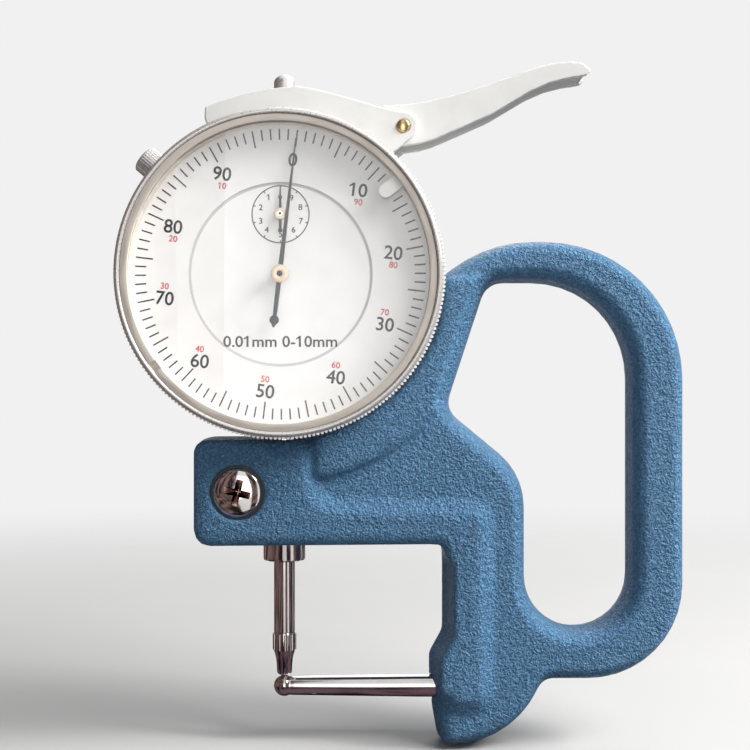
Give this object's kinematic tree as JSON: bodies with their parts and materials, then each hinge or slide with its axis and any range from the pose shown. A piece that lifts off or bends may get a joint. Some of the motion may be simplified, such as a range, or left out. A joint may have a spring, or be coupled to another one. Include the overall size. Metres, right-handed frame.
{
  "type": "dial thickness gauge",
  "caption": "Hand-held dial thickness gauge for tube walls: C-frame with a loop handle, ball-ended anvil rod, sprung spindle, turning bezel and a lift lever.",
  "frame": {"origin": "the measuring point, where the contact point meets the crest of the anvil's ball at zero reading", "axes": "+Z along the spindle, away from the anvil; the dial faces -Y; +X from the spindle towards the handle"},
  "size_m": [0.1051, 0.0225, 0.1278],
  "materials": {
    "blue_paint": "hammer-finish blue paint on a light alloy casting",
    "steel": "ground steel",
    "chrome": "bright plated",
    "plated_case": "satin white-silver plate",
    "bezel_metal": "satin white-silver",
    "white_paint": "smooth white paint",
    "brass": "turned brass",
    "dial_white": "matt white enamel",
    "cream_ring": "matt cream",
    "pointer_black": "black",
    "jewel": "red bearing stone",
    "crystal": "clear"
  },
  "bodies": {
    "frame": {"frame_casting": "blue_paint", "anvil": "steel", "clamp_screw": "chrome", "stem": "steel", "lower_bush": "brass", "dial_case": "plated_case", "back_cover": "plated_case", "cover_screws": "steel", "upper_bush": "brass", "rear_plate": "brass", "case_screws": "steel", "front_plate": "brass", "plate_pillars": "brass", "pillar_screws": "steel", "pivot_jewels": "jewel", "inner_dial": "dial_white", "bezel_clips": "steel", "clip_screws": "steel", "return_spring": "steel", "spring_post": "steel", "hairspring": "steel", "hairspring_stud": "brass", "lift_bracket": "white_paint", "bracket_screws": "steel", "pivot_pin": "brass", "lock_bush": "brass"},
    "spindle": {"spindle_rod": "steel", "contact_point": "steel", "lift_cap": "chrome", "guide_pin": "steel", "spring_arm": "steel"},
    "bezel": {"bezel_ring": "bezel_metal", "scale_ring": "dial_white", "spacer_ring": "cream_ring", "crystal": "crystal"},
    "limit": {"limit_ring": "cream_ring"},
    "centre": {"centre_arbor": "steel", "main_pointer": "pointer_black", "main_hub": "brass"},
    "rack_drive": {"rack_wheel": "brass", "rack_arbor": "steel"},
    "takeup": {"takeup_wheel": "brass", "takeup_arbor": "steel", "small_pointer": "pointer_black", "small_hub": "brass"},
    "lever": {"lift_lever": "white_paint"},
    "lock": {"lock_screw": "bezel_metal"}
  },
  "joints": [
    {"name": "spindle_lift", "type": "slide", "parent": "frame", "child": "spindle", "axis": [0, 0, 1], "range_m": [0, 0.01], "stiffness_N_per_m": 60, "springref_m": -0.02, "deforming": ["return_spring"]},
    {"name": "pointer_turn", "type": "hinge", "parent": "frame", "child": "centre", "pos_m": [0, 0, 0.0751], "axis": [0, 1, 0], "range_deg": [-10, 3610]},
    {"name": "rack_drive_turn", "type": "hinge", "parent": "frame", "child": "rack_drive", "pos_m": [-0.00289, 0, 0.06455], "axis": [0, 1, 0], "range_deg": [-362, 2]},
    {"name": "takeup_turn", "type": "hinge", "parent": "frame", "child": "takeup", "pos_m": [0, 0, 0.08604], "axis": [0, 1, 0], "range_deg": [-362, 2], "deforming": ["hairspring"]},
    {"name": "lever_press", "type": "hinge", "parent": "frame", "child": "lever", "pos_m": [0.0224, 0, 0.1029], "axis": [0, 1, 0], "range_deg": [0, 25]},
    {"name": "bezel_turn", "type": "hinge", "parent": "frame", "child": "bezel", "pos_m": [0, 0, 0.0751], "axis": [0, 1, 0], "continuous": true},
    {"name": "limit_turn", "type": "hinge", "parent": "bezel", "child": "limit", "pos_m": [0, 0, 0.0751], "axis": [0, 1, 0], "continuous": true},
    {"name": "lock_turn", "type": "hinge", "parent": "frame", "child": "lock", "pos_m": [-0.02281, -0.0047, 0.09458], "axis": [-0.7604, 0, 0.6494], "range_deg": [0, 180]}
  ],
  "couplings": [
    {"joint": "pointer_turn", "follows": "spindle_lift", "rad_per_m": 6283.2},
    {"joint": "rack_drive_turn", "follows": "spindle_lift", "rad_per_m": -628.32},
    {"joint": "takeup_turn", "follows": "spindle_lift", "rad_per_m": -628.32},
    {"joint": "lever_press", "follows": "spindle_lift", "rad_per_m": 43.284}
  ]
}
